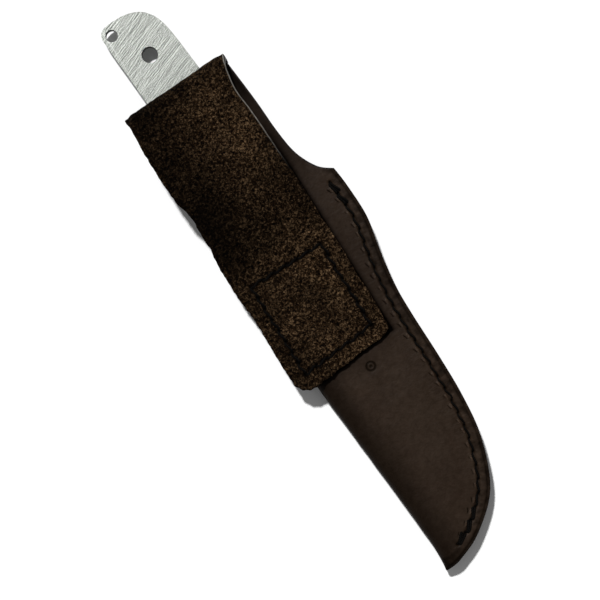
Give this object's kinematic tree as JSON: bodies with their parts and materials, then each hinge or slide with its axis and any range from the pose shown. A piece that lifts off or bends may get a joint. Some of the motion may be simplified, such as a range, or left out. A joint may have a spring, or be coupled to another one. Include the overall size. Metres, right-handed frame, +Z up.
{
  "type": "sheathed fixed-blade knife",
  "caption": "Full-tang steel knife blank seated in a folded leather belt sheath with a welted stitched edge and a sewn belt loop; the knife slides out.",
  "frame": {"origin": "centre of the belt's way through the belt loop", "axes": "+X along the belt towards the stitched edge; +Y along the spine fold from the tip to the mouth, the way the knife is drawn; +Z up from the front panel, which rests on the table, towards the belt strip"},
  "size_m": [0.062, 0.248, 0.018],
  "materials": {
    "sheath_leather": "dark brown, waxed grain side out; the belt strip shows its suede flesh side",
    "welt_leather": "dark brown, burnished cut edge",
    "blade_steel": "coarse cross-ground flats, bright rounded edges",
    "thread": "black waxed twisted thread"
  },
  "bodies": {
    "sheath": {"sheath_leather": "sheath_leather", "welt": "welt_leather", "edge_needle_thread": "thread", "edge_bobbin_thread": "thread", "loop_needle_thread": "thread", "loop_bobbin_thread": "thread"},
    "knife": {"knife_blank": "blade_steel"}
  },
  "joints": [
    {"name": "knife_draw", "type": "slide", "parent": "sheath", "child": "knife", "axis": [0, 1, 0], "range_m": [0, 0.17]}
  ]
}
